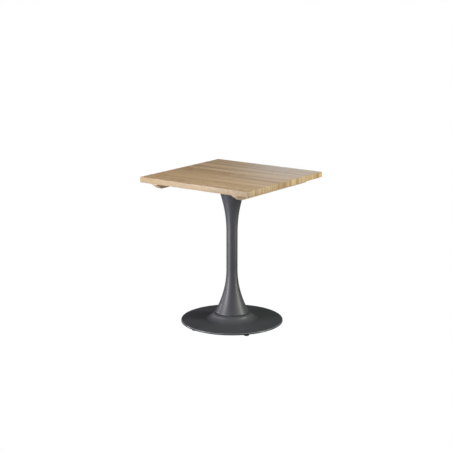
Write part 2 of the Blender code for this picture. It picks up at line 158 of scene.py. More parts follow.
# glides: pads, studs and the bushes that the studs turn in
PAD_SOLE_INSET = 0.0045
PAD_FOOT_ROUND = 0.002
PAD_TOP_ROUND = 0.0016
STUD_RADIUS = half_width("glide_stud_1")
STUD_THREAD_DEPTH = 0.0006
STUD_PITCH = 0.00125
PAD_SOCKET_RADIUS = STUD_RADIUS + GAP
PAD_SOCKET_DEPTH = 0.0045
PAD_SOCKET_CHAMFER = 0.0003
BUSH_RADIUS = half_width("glide_bush_1")
BUSH_BORE_RADIUS = STUD_RADIUS + GAP
BUSH_EDGE_ROUND = 0.0004

# base; HUB_STEEPEST and SHOULDER_START are slopes in degrees
BASE_LOW, BASE_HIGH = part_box("base_disc")
BASE_RADIUS = half_width("base_disc")
RIM_BOTTOM = 0.0115
RIM_TOP = 0.0195
RIM_TOP_ROUND = 0.003
RIM_BOTTOM_ROUND = 0.0012
RIM_BAND_INNER_RADIUS = 0.203
BAND_EDGE_ROUND = 0.0008
CEILING_EDGE_ROUND = 0.0015
CEILING_RISE = 0.0001
FLARE_FOOT_RADIUS = 0.135
FLARE_FOOT_HEIGHT = 0.0245
SPIGOT_RADIUS = 0.0725
SPIGOT_WALL = 0.0065
SPIGOT_HEIGHT = 0.008
HUB_RADIUS = 0.0845
HUB_TOP = BASE_HIGH.z - SPIGOT_HEIGHT
HUB_STEEPEST = 60
HUB_WEB = 0.008
SHOULDER_START = 10
SHOULDER_RADIUS = 0.018
CASTING_WALL = 0.007
BOSS_RADIUS = 0.0105
BOSS_ROOT = 0.0135
BOSS_BOTTOM = BASE_LOW.z
BOSS_CHAMFER = 0.0006
BUSH_HOLE_RADIUS = BUSH_RADIUS + GAP
BUSH_HOLE_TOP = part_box("glide_bush_1")[1].z + GAP

# seam ring and centring ring
SEAM_RING_INNER_RADIUS = 0.0735
SEAM_RING_EDGE_ROUND = 0.0003
CENTRING_RING_WIDTH = 0.012
CENTRING_RING_INNER_RADIUS = half_width("centring_ring") - CENTRING_RING_WIDTH
CENTRING_RING_EDGE_ROUND = 0.0007

QUARTERS = ((-1, -1), (1, -1), (1, 1), (-1, 1))
SCREW_NODES = [f"batten_screw_{side}_{number}" for side in ("left", "right") for number in range(1, 5)]


# ---------------------------------------------------------------- studio settings

WHITE = (1.0, 1.0, 1.0, 1.0)
DOME_STRENGTH = 0.01
LEFT_TINT = (1.01, 0.98, 1.01)
RIGHT_TINT = (1.03, 1.03, 0.94)
TOP_TINT = (1.05, 0.96, 0.96)
HAZE_TINT = (0.55, 0.95, 1.40)
LIGHT_DISTANCE = 2.6
AIM_HEIGHT = 0.45
STRIP_SIZE = (0.28, 1.90)
FILL_SIZE = (0.30, 0.50)
FLOOR_HALF_WIDTH = 30.0

# the camera's tilt is below the horizontal, its pan to the left of the table's axis, in radians
CAMERA_LENS = 98.32
CAMERA_AZIMUTH = 35.81
CAMERA_DISTANCE = 5.9177
CAMERA_HEIGHT = 1.8384
CAMERA_TILT = 0.2235
CAMERA_PAN = 0.0050


# ---------------------------------------------------------------- mesh helpers


def finish_mesh(shape, name, smooth_angle=35):
    """Turns a bmesh into a mesh with outward faces, smooth over gentle edges."""
    bmesh.ops.remove_doubles(shape, verts=shape.verts, dist=1e-7)
    bmesh.ops.recalc_face_normals(shape, faces=shape.faces)
    mesh = bpy.data.meshes.new(name)
    shape.to_mesh(mesh)
    shape.free()
    mesh.shade_smooth()
    mesh.set_sharp_from_angle(angle=radians(smooth_angle))
    return mesh


def on_circle(place, radius, angle, height):
    """A point on a level circle about place, at an angle in radians."""
    return place[0] + radius * cos(angle), place[1] + radius * sin(angle), height


def hexagon(place, radius, height):
    """Corners of a level hexagon with this corner radius."""
    return [on_circle(place, radius, pi * corner / 3, height) for corner in range(6)]


def lathe(shape, profile, steps, ring=False, place=(0.0, 0.0)):
    """Adds a surface turned about a vertical axis at place, from (radius, height) points."""
    rows = []
    for radius, height in profile:
        if radius < 1e-9:
            rows.append([shape.verts.new((place[0], place[1], height))] * steps)
            continue
        angles = [2 * pi * index / steps for index in range(steps)]
        rows.append([shape.verts.new(on_circle(place, radius, angle, height)) for angle in angles])
    pairs = list(zip(rows, rows[1:]))
    if ring:
        pairs.append((rows[-1], rows[0]))
    for upper, lower in pairs:
        for index in range(steps):
            following = (index + 1) % steps
            corners = [upper[index], upper[following], lower[following], lower[index]]
            corners = list(dict.fromkeys(corners))
            if len(corners) > 2:
                shape.faces.new(corners)


def arc(centre, radii, start, end, count):
    """Points on part of an ellipse, with angles in degrees from +radius towards +Z."""
    points = []
    for index in range(count + 1):
        angle = radians(start + (end - start) * index / count)
        points.append((centre[0] + radii[0] * cos(angle), centre[1] + radii[1] * sin(angle)))
    return points


def rounded(outline, size, count=4):
    """A (radius, height) outline, closed, with each corner rounded by size."""
    points = []
    total = len(outline)
    for index, corner in enumerate(outline):
        here = Vector(corner)
        before = (Vector(outline[index - 1]) - here).normalized()
        after = (Vector(outline[(index + 1) % total]) - here).normalized()
        start, end = here + before * size, here + after * size
        for step in range(count + 1):
            t = step / count
            point = start * (1 - t) ** 2 + here * 2 * t * (1 - t) + end * t**2
            points.append((point.x, point.y))
    return points


def prism(shape, corners, direction):
    """Extrudes the flat face through these corners into a closed solid."""
    face = shape.faces.new([shape.verts.new(corner) for corner in corners])
    swept = bmesh.ops.extrude_face_region(shape, geom=[face])["geom"]
    moved = [item for item in swept if isinstance(item, bmesh.types.BMVert)]
    bmesh.ops.translate(shape, verts=moved, vec=direction)


def round_edges(shape, size, segments):
    """Rounds every edge of a solid."""
    edges = shape.edges[:]
    bmesh.ops.bevel(shape, geom=edges, offset=size, segments=segments, profile=0.5, affect="EDGES")


def slot_corners(place, radius, height, steps, half_travel=0.0):
    """Corners of a circle, or of a slot drawn out along Y."""
    corners = []
    for index in range(steps):
        angle = 2 * pi * (index + 0.5) / steps
        shift = half_travel if sin(angle) > 0 else -half_travel
        corners.append((place[0] + radius * cos(angle), place[1] + radius * sin(angle) + shift, height))
    return corners


def thread(shape, radius, depth, pitch, low, high, rows_per_turn, place=(0.0, 0.0)):
    """A closed rod with a right-handed V thread, its ends chamfered."""
    count = max(2, round((high - low) / pitch * rows_per_turn))
    rows = []
    for row in range(count + 1):
        z = low + (high - low) * row / count
        near_end = min(z - low, high - z)
        ring = []
        for index in range(THREAD_STEPS):
            phase = (z / pitch - index / THREAD_STEPS) % 1.0
            groove = depth * (1 - abs(2 * phase - 1))
            chamfer = max(0.0, THREAD_END_CHAMFER * depth - near_end)
            reach = min(radius - groove, radius - chamfer)
            angle = 2 * pi * index / THREAD_STEPS
            ring.append(shape.verts.new(on_circle(place, reach, angle, z)))
        rows.append(ring)
    for upper, lower in zip(rows, rows[1:]):
        for index in range(THREAD_STEPS):
            following = (index + 1) % THREAD_STEPS
            shape.faces.new([upper[index], upper[following], lower[following], lower[index]])
    for ring in (rows[0], rows[-1]):
        shape.faces.new(ring)


def boolean(mesh, cutter, operation="DIFFERENCE", smooth_angle=35):
    """The mesh after an exact Boolean with a bmesh."""
    target = bpy.data.objects.new("boolean_target", mesh)
    tool = bpy.data.objects.new("boolean_tool", finish_mesh(cutter, "boolean_tool"))
    for helper in (target, tool):
        bpy.context.scene.collection.objects.link(helper)
    modifier = target.modifiers.new("boolean", "BOOLEAN")
    modifier.operation = operation
    modifier.solver = "EXACT"
    modifier.object = tool
    bpy.context.view_layer.update()
    graph = bpy.context.evaluated_depsgraph_get()
    made = bpy.data.meshes.new_from_object(target.evaluated_get(graph))
    made.name = mesh.name
    for helper in (target, tool):
        used = helper.data
        bpy.data.objects.remove(helper)
        bpy.data.meshes.remove(used)
    made.shade_smooth()
    made.set_sharp_from_angle(angle=radians(smooth_angle))
    return made


def piece(name, mesh, material, node):
    """Adds a piece that stands for a CAD node and rides on that node's body."""
    made = bpy.data.objects.new(name, mesh)
    bpy.context.scene.collection.objects.link(made)
    mesh.materials.clear()
    mesh.materials.append(material)
    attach(made, frame["nodes"][node]["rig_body"])
    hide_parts(node)
    return made


def centre_of(node):
    """The middle of a CAD node's box."""
    low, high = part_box(node)
    return (low + high) / 2


# ---------------------------------------------------------------- materials


class Nodes:
    """A small helper that adds shader nodes and links them."""

    def __init__(self, name):
        self.material = bpy.data.materials.new(name)
        self.material.use_nodes = True
        self.tree = self.material.node_tree
        self.shader = self.tree.nodes["Principled BSDF"]
        self.place = self.add("ShaderNodeTexCoord").outputs["Object"]

    def add(self, kind, inputs=None, **settings):
        node = self.tree.nodes.new(kind)
        for key, value in settings.items():
            setattr(node, key, value)
        for key, value in (inputs or {}).items():
            self.put(node.inputs[key], value)
        return node

    def put(self, socket, value):
        if isinstance(value, bpy.types.NodeSocket):
            self.tree.links.new(value, socket)
        else:
            socket.default_value = value

    def math(self, operation, a, b=0.0, c=0.0):
        return self.add("ShaderNodeMath", {0: a, 1: b, 2: c}, operation=operation).outputs[0]

    def vector(self, x, y, z):
        return self.add("ShaderNodeCombineXYZ", {0: x, 1: y, 2: z}).outputs[0]

    def split(self, vector):
        return self.add("ShaderNodeSeparateXYZ", {0: vector}).outputs

    def noise(self, vector, scale, detail=3.0, roughness=0.55, distortion=0.0):
        inputs = {"Vector": vector, "Scale": scale, "Detail": detail}
        inputs.update({"Roughness": roughness, "Distortion": distortion})
        return self.add("ShaderNodeTexNoise", inputs).outputs["Fac"]

    def ramp(self, fac, stops):
        node = self.add("ShaderNodeValToRGB", {"Fac": fac})
        elements = node.color_ramp.elements
        while len(elements) < len(stops):
            elements.new(1.0)
        for element, (position, colour) in zip(elements, stops):
            element.position = position
            element.color = (*colour, 1.0)
        return node.outputs["Color"]

    def remap(self, value, low, high, to_low, to_high):
        inputs = {"Value": value, "From Min": low, "From Max": high, "To Min": to_low, "To Max": to_high}
        return self.add("ShaderNodeMapRange", inputs, clamp=True).outputs["Result"]

    def mix(self, fac, a, b, blend="MIX"):
        node = self.add("ShaderNodeMix", data_type="RGBA", blend_type=blend)
        self.put(node.inputs[0], fac)
        self.put(node.inputs[6], a)
        self.put(node.inputs[7], b)
        return node.outputs[2]

    def bump(self, height, strength, distance):
        inputs = {"Height": height, "Strength": strength, "Distance": distance}
        self.put(self.shader.inputs["Normal"], self.add("ShaderNodeBump", inputs).outputs["Normal"])

    def finish(self, colour, roughness):
        """Gives the shader its colour and roughness and returns the material."""
        self.put(self.shader.inputs["Base Color"], colour)
        self.put(self.shader.inputs["Roughness"], roughness)
        return self.material


def scaled(colour, factor):
    """A colour made lighter or darker."""
    return tuple(channel * factor for channel in colour)


# wood colours, from the darkest streaks to the palest, then the tints and the small marks
BROWN = (0.300, 0.193, 0.097)
TAN = (0.430, 0.304, 0.165)
STRAW = (0.500, 0.364, 0.206)
CREAM = (0.590, 0.455, 0.280)
PALE_WOOD = (0.70, 0.55, 0.39, 1.0)
YELLOW_TINT = (1.05, 0.98, 0.72, 1.0)
# COOL_TINT is painted light: the tint of the light on the long edges
COOL_TINT = (0.955, 1.0, 1.01, 1.0)
ORANGE_FLECK = (0.55, 0.33, 0.15, 1.0)
PORE_BROWN = (0.17, 0.10, 0.05, 1.0)
KNOT_BROWN = (0.22, 0.12, 0.045, 1.0)
GLUE_BROWN = (0.22, 0.14, 0.075, 1.0)
GLUE_WIDTH = 0.0008


def wood(name, along, stave, contrast=1.0, knots=True, pale=0.0):
    """Full-length edge-glued staves along one axis, stave wide on average. Their tones differ little
    on the faces and more on the end grain, where the upright staves, their growth rings and a few
    pin knots show."""
    made = Nodes(name)
    x, y, z = made.split(made.place)
    facing = made.split(made.add("ShaderNodeTexCoord").outputs["Normal"])
    if along == "Y":
        x, y = y, x
        facing = (facing[1], facing[0])
    end_grain = made.remap(made.math("ABSOLUTE", facing[0]), 0.6, 0.8, 0.0, 1.0)
    long_edge = made.remap(made.math("ABSOLUTE", facing[1]), 0.6, 0.8, 0.0, 1.0)

    # one tone and one tint for each stave, whose widths vary
    cells = {"W": y, "Scale": 1 / stave}
    tones = made.add("ShaderNodeTexVoronoi", cells, voronoi_dimensions="1D")
    tone, tint, offset = made.split(tones.outputs["Color"])
    edge = made.add("ShaderNodeTexVoronoi", cells, voronoi_dimensions="1D", feature="DISTANCE_TO_EDGE")
    glue = made.remap(edge.outputs["Distance"], 0.0, GLUE_WIDTH / stave, 0.60, 0.0)

    # narrower slats show on the end grain; offset keeps one stave's grain from running into the next
    slats = made.add("ShaderNodeTexVoronoi", {"W": y, "Scale": 3.1 / stave}, voronoi_dimensions="1D")
    slat = made.math("SUBTRACT", made.split(slats.outputs["Color"])[0], 0.5)
    shifted = made.math("MULTIPLY_ADD", offset, 5.0, x)

    def grain(frequencies, detail, roughness=0.55, distortion=0.0):
        """Noise about zero with its own frequency, in cycles per metre, along, across and up the stave."""
        axes = (made.math("MULTIPLY", axis, by) for axis, by in zip((shifted, y, z), frequencies))
        value = made.noise(made.vector(*axes), 1.0, detail, roughness, distortion)
        return made.math("SUBTRACT", value, 0.5)

    streaks = grain((1.5, 34.0, 20.0), 3.0, 0.55, 0.3)
    lines = grain((7.0, 190.0, 90.0), 3.0, 0.6)
    ripples = grain((24.0, 60.0, 50.0), 3.0, 0.55, 1.2)
    rings = grain((0.6, 260.0, 30.0), 3.0, 0.6)
    fibre = grain((60.0, 1100.0, 500.0), 3.0, 0.65)
    pores = grain((130.0, 1900.0, 1200.0), 1.0)

    # ripples in the figure come in patches, and along the edge on the side of -Y
    patches = made.remap(made.noise(made.place, 4.5, 1.0), 0.50, 0.62, 0.0, 1.0)
    patches = made.math("MAXIMUM", patches, made.remap(y, -0.28, -0.12, 1.0, 0.0))

    def by_face(flat, edge, end):
        """A number for the broad faces, one for the long edges and one for the ends."""
        value = made.math("MULTIPLY_ADD", end_grain, end - flat, flat)
        return made.math("MULTIPLY_ADD", long_edge, edge - flat, value)

    # shade starts from a level for each kind of face, and each layer moves it by its own amount. These
    # levels are partly the grain's own and partly painted light: the long edges are held darker as painted
    # shade for how the light falls on them, and the ends are kept lighter than end grain usually is, as
    # painted light.
    shade = by_face(0.60, 0.33, 0.50)
    glue = made.math("MULTIPLY", glue, by_face(0.5, 0.0, 1.0))
    for layer, amount in (
        (made.math("SUBTRACT", tone, 0.5), by_face(0.20, 0.0, 0.62)),
        (slat, by_face(0.0, 0.0, 0.45)),
        (streaks, by_face(1.8, 0.12, 0.1)),
        (lines, by_face(0.5, 0.15, 0.25)),
        (made.math("MULTIPLY", ripples, patches), by_face(1.5, 0.3, 0.0)),
        (rings, by_face(0.0, 0.0, 0.8)),
        (fibre, 0.3),
    ):
        shade = made.math("MULTIPLY_ADD", layer, made.math("MULTIPLY", amount, contrast), shade)
    colour = made.ramp(shade, ((0.10, BROWN), (0.42, TAN), (0.60, STRAW), (0.92, CREAM)))

    # some staves are yellower, most plainly on the end grain
    yellower = made.math("MULTIPLY", made.remap(tint, 0.45, 0.70, 0.0, 1.0), by_face(0.15, 0.0, 0.55))
    colour = made.mix(yellower, colour, made.mix(1.0, colour, YELLOW_TINT, "MULTIPLY"))

    # the long edges are cooler, a painted tint that stands in for the colour of the light on those sides,
    # with short upright orange flecks towards one end
    colour = made.mix(long_edge, colour, made.mix(1.0, colour, COOL_TINT, "MULTIPLY"))
    flecks = made.remap(grain((95.0, 20.0, 45.0), 1.0), 0.04, 0.14, 0.0, 0.55)
    places = made.remap(x, -0.05, 0.12, 0.0, 1.0)
    flecks = made.math("MULTIPLY", made.math("MULTIPLY", flecks, places), long_edge)
    colour = made.mix(flecks, colour, ORANGE_FLECK)
    if pale:
        colour = made.mix(pale, colour, PALE_WOOD)

    # open pores, pin knots and glue lines lie on top
    dashes = made.remap(pores, 0.17, 0.24, 0.0, 0.30)
    colour = made.mix(dashes, colour, PORE_BROWN)
    if knots:
        section = {"Vector": made.vector(y, z, 0.0), "Scale": 32.0}
        cells = made.add("ShaderNodeTexVoronoi", section, voronoi_dimensions="2D")
        rare = made.math("GREATER_THAN", made.split(cells.outputs["Color"])[0], 0.82)
        knot = made.math("MULTIPLY", made.remap(cells.outputs["Distance"], 0.05, 0.13, 0.75, 0.0), rare)
        colour = made.mix(made.math("MULTIPLY", knot, end_grain), colour, KNOT_BROWN)
    colour = made.mix(glue, colour, GLUE_BROWN)
    roughness = made.remap(lines, -0.2, 0.2, 0.44, 0.56)
    height = made.math("MULTIPLY_ADD", fibre, 0.6, made.math("MULTIPLY", dashes, -1.0))
    made.bump(made.math("MULTIPLY_ADD", glue, -1.0, height), 0.30, 0.0002)
    return made.finish(colour, roughness)


ORANGE_PEEL_SIZE = 0.0016
# blend widths of the rim's glossier coat and of its painted shade and painted highlight
RIM_BLEND_OUTWARDS = 0.001
RIM_BLEND_UPWARDS = 0.0006


def powder_coat(name, colour, roughness, rim=None):
    """Baked powder coating: a fine orange peel, with faint drift in tone and sheen. Outside rim, a
    radius and a height, it has a glossier coat above that height and a painted highlight there, and below
    it a painted shade."""
    made = Nodes(name)
    drift = made.noise(made.place, 9.0, 2.0)
    fleck = made.noise(made.place, 700.0, 2.0, 0.6)
    mixed = made.math("MULTIPLY_ADD", made.math("SUBTRACT", fleck, 0.5), 0.5, drift)
    paint = made.ramp(mixed, ((0.3, scaled(colour, 0.93)), (0.7, scaled(colour, 1.07))))
    if rim:
        radius, height = rim
        x, y, z = made.split(made.place)
        level = made.vector(x, y, 0.0)
        distance = made.add("ShaderNodeVectorMath", {0: level}, operation="LENGTH").outputs["Value"]
        edge = made.remap(distance, radius, radius + RIM_BLEND_OUTWARDS, 0.0, 1.0)
        above = made.remap(z, height, height + RIM_BLEND_UPWARDS, 0.0, 1.0)
        above = made.math("MULTIPLY", edge, above)
        made.put(made.shader.inputs["Coat Weight"], above)
        made.shader.inputs["Coat Roughness"].default_value = 0.20
        # painted shade: the rim's side and underside are darkened
        paint = made.mix(edge, paint, (*scaled(colour, 0.4), 1.0))
        # painted highlight: the rim's rounded top edge is lightened
        paint = made.mix(above, paint, (*scaled(colour, 2.8), 1.0))
    peel = made.noise(made.place, 1.0 / ORANGE_PEEL_SIZE, 2.0, 0.5)
    made.bump(peel, 0.10, 0.00012)
    return made.finish(paint, made.remap(drift, 0.3, 0.7, roughness - 0.02, roughness + 0.02))


def plated(name, colour, roughness):
    """Zinc or brass plating: soft brushed streaks and a little mottling."""
    made = Nodes(name)
    mottling = made.noise(made.place, 160.0, 3.0)
    streaks = made.noise(made.place, 1400.0, 2.0)
    shine = made.ramp(mottling, ((0.35, scaled(colour, 0.78)), (0.65, colour)))
    made.shader.inputs["Metallic"].default_value = 1.0
    made.bump(streaks, 0.15, 0.00005)
    return made.finish(shine, made.remap(mottling, 0.3, 0.7, roughness - 0.06, roughness + 0.08))


def moulded(name, colour, roughness):
    """Moulded plastic with a fine matt texture."""
    made = Nodes(name)
    texture = made.noise(made.place, 1800.0, 2.0)
    clouds = made.noise(made.place, 60.0, 2.0)
    plastic = made.ramp(clouds, ((0.35, colour), (0.65, scaled(colour, 1.35))))
    made.bump(texture, 0.2, 0.00005)
    return made.finish(plastic, made.remap(clouds, 0.3, 0.7, roughness - 0.05, roughness + 0.05))


# ---------------------------------------------------------------- pieces


def make_board(material):
    """The square top with softly rounded edges and the holes in its underside."""
    shape = bmesh.new()
    size = Matrix.Diagonal((TOP_SIDE, TOP_SIDE, TOP_THICKNESS, 1.0))
    centre = Matrix.Translation((TOP_LOW + TOP_HIGH) / 2)
    bmesh.ops.create_cube(shape, size=1.0, matrix=centre @ size)
    round_edges(shape, BOARD_EDGE_ROUND, 4)
    mesh = finish_mesh(shape, "board")
    wells = [((0.0, 0.0), ROD_WELL_RADIUS, ROD_WELL_DEPTH, 64)]
    for number in range(1, 7):
        wells.append((centre_of(f"plate_insert_{number}"), INSERT_HOLE_RADIUS, INSERT_HOLE_DEPTH, 32))
    for node in SCREW_NODES:
        wells.append((centre_of(node), SCREW_HOLE_RADIUS, SCREW_HOLE_DEPTH, 20))
    holes = bmesh.new()
    for place, radius, depth, steps in wells:
        prism(holes, slot_corners(place, radius, TOP_LOW.z - OVERLAP, steps), (0.0, 0.0, depth + OVERLAP))
    return piece("board", boolean(mesh, holes), material, "tabletop")


def make_battens(material):
    """Battens with bevelled ends. The outer screws' holes are slots, so that the top can shrink."""
    for side in ("left", "right"):
        low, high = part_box(f"batten_{side}")
        foot_low, foot_high = low.y + BATTEN_BEVEL_LENGTH, high.y - BATTEN_BEVEL_LENGTH
        bevel_top = high.z - BATTEN_END_HEIGHT
        outline = [(low.y, high.z), (low.y, bevel_top), (foot_low, low.z)]
        outline += [(foot_high, low.z), (high.y, bevel_top), (high.y, high.z)]
        shape = bmesh.new()
        prism(shape, [(low.x, y, z) for y, z in outline], (high.x - low.x, 0.0, 0.0))
        round_edges(shape, BATTEN_EDGE_ROUND, 3)
        mesh = finish_mesh(shape, f"{side}_batten", 25)
        counterbores, shanks = bmesh.new(), bmesh.new()
        for number in range(1, 5):
            place = centre_of(f"batten_screw_{side}_{number}")
            travel = SLOT_HALF_TRAVEL if number in (1, 4) else 0.0
            corners = slot_corners(place, COUNTERBORE_RADIUS, low.z - OVERLAP, 40, travel)
            prism(counterbores, corners, (0.0, 0.0, COUNTERBORE_DEPTH + OVERLAP))
            corners = slot_corners(place, SCREW_HOLE_RADIUS, low.z - OVERLAP, 24, travel)
            prism(shanks, corners, (0.0, 0.0, high.z - low.z + 2 * OVERLAP))
        mesh = boolean(boolean(mesh, counterbores), shanks, smooth_angle=25)
        piece(f"{side}_batten", mesh, material, f"batten_{side}")


def recess_arm(place, bottom, width, length):
    """A block that narrows upwards, for one arm of a cross recess."""
    shape = bmesh.new()
    rings = []
    for taper, height in ((1.0, bottom - OVERLAP / 2), (RECESS_TAPER, bottom + RECESS_DEPTH)):
        across, along = taper * width / 2, taper * length / 2
        corners = [(place[0] + sx * across, place[1] + sy * along, height) for sx, sy in QUARTERS]
        rings.append([shape.verts.new(corner) for corner in corners])
    lower, upper = rings
    shape.faces.new(lower)
    shape.faces.new(upper[::-1])
    for index in range(4):
        following = (index + 1) % 4
        shape.faces.new([lower[index], lower[following], upper[following], upper[index]])
    return shape


def make_screws(material):
    """Pan-head wood screws with a cross recess, tips upwards. The arms are cut one by one, because
    an exact Boolean with overlapping arms in one cutter can return nothing."""
    for node in SCREW_NODES:
        low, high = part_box(node)
        place = centre_of(node).xy
        seat = low.z + SCREW_HEAD_HEIGHT
        edge = (0.0, seat - (SCREW_HEAD_HEIGHT - SCREW_DOME_HEIGHT))
        profile = [(0.0, high.z), (SCREW_SHANK_RADIUS, high.z - SCREW_TIP_LENGTH)]
        profile += [(SCREW_SHANK_RADIUS, seat), (SCREW_HEAD_RADIUS, seat)]
        profile += arc(edge, (SCREW_HEAD_RADIUS, SCREW_DOME_HEIGHT), 0, -90, 10)
        shape = bmesh.new()
        lathe(shape, profile, 40, place=place)
        mesh = finish_mesh(shape, node)
        mesh = boolean(mesh, recess_arm(place, low.z, RECESS_ARM_WIDTH, RECESS_ARM_LENGTH))
        mesh = boolean(mesh, recess_arm(place, low.z, RECESS_ARM_LENGTH, RECESS_ARM_WIDTH))
        piece(node.replace("batten_screw", "wood_screw"), mesh, material, node)


def make_plate(material):
    """The round mounting plate, with a hole for the tie rod and one for each bolt."""
    low, high = PLATE_LOW.z, PLATE_HIGH.z
    outline = [(ROD_HOLE_RADIUS, high), (PLATE_RADIUS, high), (PLATE_RADIUS, low), (ROD_HOLE_RADIUS, low)]
    shape = bmesh.new()
    lathe(shape, rounded(outline, PLATE_EDGE_ROUND), 128, ring=True)
    holes = bmesh.new()
    for number in range(1, 7):
        corners = slot_corners(centre_of(f"plate_bolt_{number}"), PLATE_HOLE_RADIUS, low - OVERLAP, 32)
        prism(holes, corners, (0.0, 0.0, high - low + 2 * OVERLAP))
    mesh = boolean(finish_mesh(shape, "top_plate"), holes)
    piece("top_plate", mesh, material, "mounting_plate")


def make_bolts(material):
    """Button-head bolts with a hexagon socket."""
    for number in range(1, 7):
        node = f"plate_bolt_{number}"
        low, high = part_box(node)
        place = centre_of(node).xy
        seat = low.z + BOLT_HEAD_HEIGHT
        edge = (0.0, seat - (BOLT_HEAD_HEIGHT - BOLT_DOME_HEIGHT))
        profile = [(0.0, high.z), (BOLT_RADIUS - BOLT_TIP_CHAMFER, high.z)]
        profile += [(BOLT_RADIUS, high.z - BOLT_TIP_CHAMFER), (BOLT_RADIUS, seat), (BOLT_SEAT_RADIUS, seat)]
        profile += arc(edge, (BOLT_HEAD_RADIUS, BOLT_DOME_HEIGHT), 0, -90, 12)
        shape = bmesh.new()
        lathe(shape, profile, 48, place=place)
        socket = bmesh.new()
        corners = hexagon(place, BOLT_SOCKET_RADIUS, low.z - OVERLAP / 2)
        prism(socket, corners, (0.0, 0.0, BOLT_SOCKET_DEPTH + OVERLAP / 2))
        mesh = boolean(finish_mesh(shape, node), socket)
        piece(f"button_bolt_{number}", mesh, material, node)


def make_rod(material):
    """Tie rod, threaded over its whole length."""
    low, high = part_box("tie_rod")
    shape = bmesh.new()
    thread(shape, ROD_RADIUS, ROD_THREAD_DEPTH, ROD_PITCH, low.z, high.z, 7)
    piece("threaded_rod", finish_mesh(shape, "threaded_rod", 50), material, "tie_rod")


def make_washer(where, material):
    """The flat washer under the upper or the lower nut."""
    node = f"{where}_washer"
    low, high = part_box(node)
    outline = [(ROD_HOLE_RADIUS, high.z), (WASHER_RADIUS, high.z)]
    outline += [(WASHER_RADIUS, low.z), (ROD_HOLE_RADIUS, low.z)]
    shape = bmesh.new()
    lathe(shape, rounded(outline, WASHER_EDGE_ROUND, 3), 64, ring=True)
    piece(f"{where}_flat_washer", finish_mesh(shape, "washer"), material, node)


def make_nut(where, material):
    """The upper or the lower hexagon nut, its corners chamfered and its bore countersunk."""
    node = f"{where}_nut"
    low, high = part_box(node)
    shape = bmesh.new()
    prism(shape, hexagon((0.0, 0.0), NUT_CORNER_RADIUS, low.z), (0.0, 0.0, high.z - low.z))
    profile = [
        (0.0, high.z),
        (NUT_FACE_RADIUS, high.z),
        (NUT_CHAMFER_RADIUS, high.z - NUT_CHAMFER_HEIGHT),
        (NUT_CHAMFER_RADIUS, low.z + NUT_CHAMFER_HEIGHT),
        (NUT_FACE_RADIUS, low.z),
        (0.0, low.z),
    ]
    limit = bmesh.new()
    lathe(limit, profile, 72)
    mesh = boolean(finish_mesh(shape, "nut"), limit, "INTERSECT")
    past = OVERLAP / 2
    mouth = NUT_BORE_RADIUS + NUT_COUNTERSINK + past
    profile = [
        (0.0, high.z + past),
        (mouth, high.z + past),
        (NUT_BORE_RADIUS, high.z - NUT_COUNTERSINK),
        (NUT_BORE_RADIUS, low.z + NUT_COUNTERSINK),
        (mouth, low.z - past),
        (0.0, low.z - past),
    ]
    bore = bmesh.new()
    lathe(bore, profile, 48)
    piece(f"{where}_hex_nut", boolean(mesh, bore), material, node)


def flare_radius(z):
    """Outside radius and slope of the column at a height."""
    if z < LOWER_FLARE_START:
        start, end, power = LOWER_FLARE_START, COLUMN_LOW.z, LOWER_FLARE_POWER
        rise = COLUMN_LOWER_RADIUS - COLUMN_WAIST_RADIUS
    elif z > UPPER_FLARE_START:
        start, end, power = UPPER_FLARE_START, COLUMN_HIGH.z, UPPER_FLARE_POWER
        rise = COLUMN_UPPER_RADIUS - COLUMN_WAIST_RADIUS
    else:
        return COLUMN_WAIST_RADIUS, 0.0
    along = (z - start) / (end - start)
    slope = rise * power * along ** (power - 1) / abs(end - start)
    return COLUMN_WAIST_RADIUS + rise * along**power, slope


def flare_profile(start, end, count):
    """Outer and inner points of one flare from the waist to its rounded end."""
    towards_end = 1.0 if end > start else -1.0
    lean = atan(flare_radius(end - towards_end * 1e-6)[1])
    last = end - towards_end * COLUMN_EDGE_ROUND * (1 + sin(lean))
    outer, inner = [], []
    for index in range(count + 1):
        z = start + (last - start) * index / count
        radius, slope = flare_radius(z)
        outer.append((radius, z))
        inner.append((min(radius - COLUMN_WALL * sqrt(1 + slope**2), COLUMN_MOUTH_RADIUS), z))
    middle = (outer[-1][0] - COLUMN_EDGE_ROUND * cos(lean), end - towards_end * COLUMN_EDGE_ROUND)
    tilt = -towards_end * degrees(lean)
    outer += arc(middle, (COLUMN_EDGE_ROUND,) * 2, tilt, towards_end * 90, 10)[1:]
    inner.append((COLUMN_MOUTH_RADIUS, end))
    return outer, inner


def make_column(material):
    """The hollow shell, turned in one go from its outside and its inside."""
    lower_outer, lower_inner = flare_profile(LOWER_FLARE_START, COLUMN_LOW.z, 40)
    upper_outer, upper_inner = flare_profile(UPPER_FLARE_START, COLUMN_HIGH.z, 40)
    outline = lower_outer + lower_inner[::-1] + upper_inner + upper_outer[::-1]
    shape = bmesh.new()
    lathe(shape, outline, 144, ring=True)
    piece("column", finish_mesh(shape, "column"), material, "column_shell")


def hub_side(shoulder_steps, hollow_steps):
    """A soft shoulder that steepens from the seam, then a hollow curve that flattens onto the disc."""
    start, steepest = 90 - SHOULDER_START, 90 - HUB_STEEPEST
    centre = (
        HUB_RADIUS - SHOULDER_RADIUS * cos(radians(start)),
        HUB_TOP - SHOULDER_RADIUS * sin(radians(start)),
    )
    shoulder = arc(centre, (SHOULDER_RADIUS,) * 2, start, steepest, shoulder_steps)
    drop = shoulder[-1][1] - FLARE_FOOT_HEIGHT
    size = drop / (1 - sin(radians(steepest)))
    centre = (shoulder[-1][0] + size * cos(radians(steepest)), FLARE_FOOT_HEIGHT + size)
    return shoulder + arc(centre, (size, size), 180 + steepest, 270, hollow_steps)[1:]


